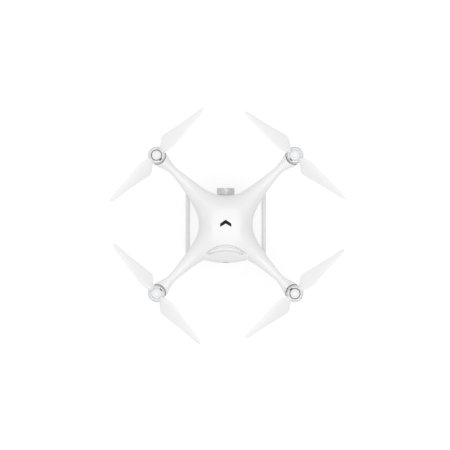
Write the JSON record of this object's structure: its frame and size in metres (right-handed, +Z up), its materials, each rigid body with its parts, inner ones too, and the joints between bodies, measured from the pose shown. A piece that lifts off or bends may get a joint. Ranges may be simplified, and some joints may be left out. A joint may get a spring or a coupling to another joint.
{
  "type": "quadcopter camera drone",
  "caption": "X-shaped quadcopter with a smooth two-part shell, two-blade propellers, loop landing legs, a three-axis gimbal camera under the nose and a slide-in rear battery.",
  "frame": {"origin": "on the ground, midway between the four motors in plan, with the drone standing on its skids", "axes": "+X to the drone's right, +Y to its nose, +Z up"},
  "size_m": [0.424, 0.4237, 0.1823],
  "materials": {
    "shell_white": "satin moulded ABS",
    "blade_white": "matte moulded nylon",
    "leg_white": "satin moulded plastic",
    "gimbal_metal": "bead-blasted, anodised",
    "bell_metal": "turned, satin",
    "ring_dark": "dark anodised",
    "ring_silver": "turned, satin",
    "dark_plastic": "fine texture",
    "grey_plastic": "satin",
    "mark_black": "printed",
    "rubber_black": "matte",
    "steel": "ground",
    "winding_copper": "enamelled",
    "contact_gold": "plated",
    "board_green": "solder mask",
    "sensor_ceramic": "ceramic",
    "light_cover": "translucent",
    "lens_glass": "coated",
    "cell_foil": "laminated foil"
  },
  "bodies": {
    "airframe": {"upper_shell": "shell_white", "lower_shell": "shell_white", "top_mark": "mark_black", "battery_bay": "dark_plastic", "bay_connector": "dark_plastic", "main_board": "board_green", "speed_control_board": "board_green", "heat_sink": "gimbal_metal", "gps_antenna": "sensor_ceramic", "motion_sensor": "grey_plastic", "front_vision_sensors": "dark_plastic", "belly_vision_module": "dark_plastic", "landing_gear_left": "leg_white", "landing_gear_right": "leg_white", "skid_pads": "rubber_black", "motor_mounts": "shell_white", "arm_light_covers": "light_cover", "arm_light_boards": "grey_plastic", "stator_bases": "bell_metal", "stator_cores": "steel", "stator_windings": "winding_copper", "motor_bearings": "steel", "motor_screws": "steel", "shell_screws": "steel", "damper_plate": "grey_plastic", "gimbal_dampers": "rubber_black", "gimbal_base": "gimbal_metal", "usb_port": "steel", "link_switch": "dark_plastic"},
    "camera": {"camera_body": "gimbal_metal", "camera_rear_cover": "dark_plastic", "lens_barrel": "gimbal_metal", "lens_glass": "lens_glass", "image_sensor": "board_green"},
    "gimbal_roll_frame": {"roll_arm": "gimbal_metal", "pitch_motor": "dark_plastic"},
    "gimbal_yaw_frame": {"yaw_arm": "gimbal_metal", "roll_motor": "dark_plastic"},
    "memory_card": {"memory_card": "dark_plastic"},
    "battery": {"battery_case": "grey_plastic", "battery_cells": "cell_foil", "battery_board": "board_green", "battery_end_cap": "shell_white", "battery_contacts": "contact_gold"},
    "power_button": {"battery_button": "grey_plastic"},
    "top_latch": {"battery_latch_top": "shell_white"},
    "bottom_latch": {"battery_latch_bottom": "shell_white"},
    "pairing_button": {"link_button": "grey_plastic"},
    "rotor_fl": {"motor_bell_fl": "bell_metal", "propeller_fl": "blade_white", "prop_ring_fl": "ring_dark"},
    "rotor_fr": {"motor_bell_fr": "bell_metal", "propeller_fr": "blade_white", "prop_ring_fr": "ring_silver"},
    "rotor_rl": {"motor_bell_rl": "bell_metal", "propeller_rl": "blade_white", "prop_ring_rl": "ring_silver"},
    "rotor_rr": {"motor_bell_rr": "bell_metal", "propeller_rr": "blade_white", "prop_ring_rr": "ring_dark"}
  },
  "joints": [
    {"name": "rotor_fl_spin", "type": "hinge", "parent": "airframe", "child": "rotor_fl", "pos_m": [-0.12375, 0.12375, 0.16], "axis": [0, 0, 1], "continuous": true},
    {"name": "rotor_fr_spin", "type": "hinge", "parent": "airframe", "child": "rotor_fr", "pos_m": [0.12375, 0.12375, 0.16], "axis": [0, 0, 1], "continuous": true},
    {"name": "rotor_rl_spin", "type": "hinge", "parent": "airframe", "child": "rotor_rl", "pos_m": [-0.12375, -0.12375, 0.16], "axis": [0, 0, 1], "continuous": true},
    {"name": "rotor_rr_spin", "type": "hinge", "parent": "airframe", "child": "rotor_rr", "pos_m": [0.12375, -0.12375, 0.16], "axis": [0, 0, 1], "continuous": true},
    {"name": "gimbal_yaw", "type": "hinge", "parent": "airframe", "child": "gimbal_yaw_frame", "pos_m": [0, 0.004, 0.085], "axis": [0, 0, 1], "range_deg": [-25, 25]},
    {"name": "gimbal_roll", "type": "hinge", "parent": "gimbal_yaw_frame", "child": "gimbal_roll_frame", "pos_m": [0, 0.01, 0.072], "axis": [0, 1, 0], "range_deg": [-25, 25]},
    {"name": "camera_pitch", "type": "hinge", "parent": "gimbal_roll_frame", "child": "camera", "pos_m": [0, 0.04, 0.072], "axis": [1, 0, 0], "range_deg": [-90, 30]},
    {"name": "memory_card_slide", "type": "slide", "parent": "camera", "child": "memory_card", "axis": [-1, 0, 0], "range_m": [0, 0.012]},
    {"name": "battery_slide", "type": "slide", "parent": "airframe", "child": "battery", "axis": [0, -1, 0], "range_m": [0, 0.1]},
    {"name": "top_latch_press", "type": "slide", "parent": "battery", "child": "top_latch", "axis": [0, 0, -1], "range_m": [0, 0.0015], "stiffness_N_per_m": 900},
    {"name": "bottom_latch_press", "type": "slide", "parent": "battery", "child": "bottom_latch", "axis": [0, 0, 1], "range_m": [0, 0.0015], "stiffness_N_per_m": 900},
    {"name": "power_button_press", "type": "slide", "parent": "battery", "child": "power_button", "axis": [0, 1, 0], "range_m": [0, 0.0008], "stiffness_N_per_m": 1200},
    {"name": "pairing_button_press", "type": "slide", "parent": "airframe", "child": "pairing_button", "axis": [-1, 0, 0], "range_m": [0, 0.0007], "stiffness_N_per_m": 800}
  ]
}
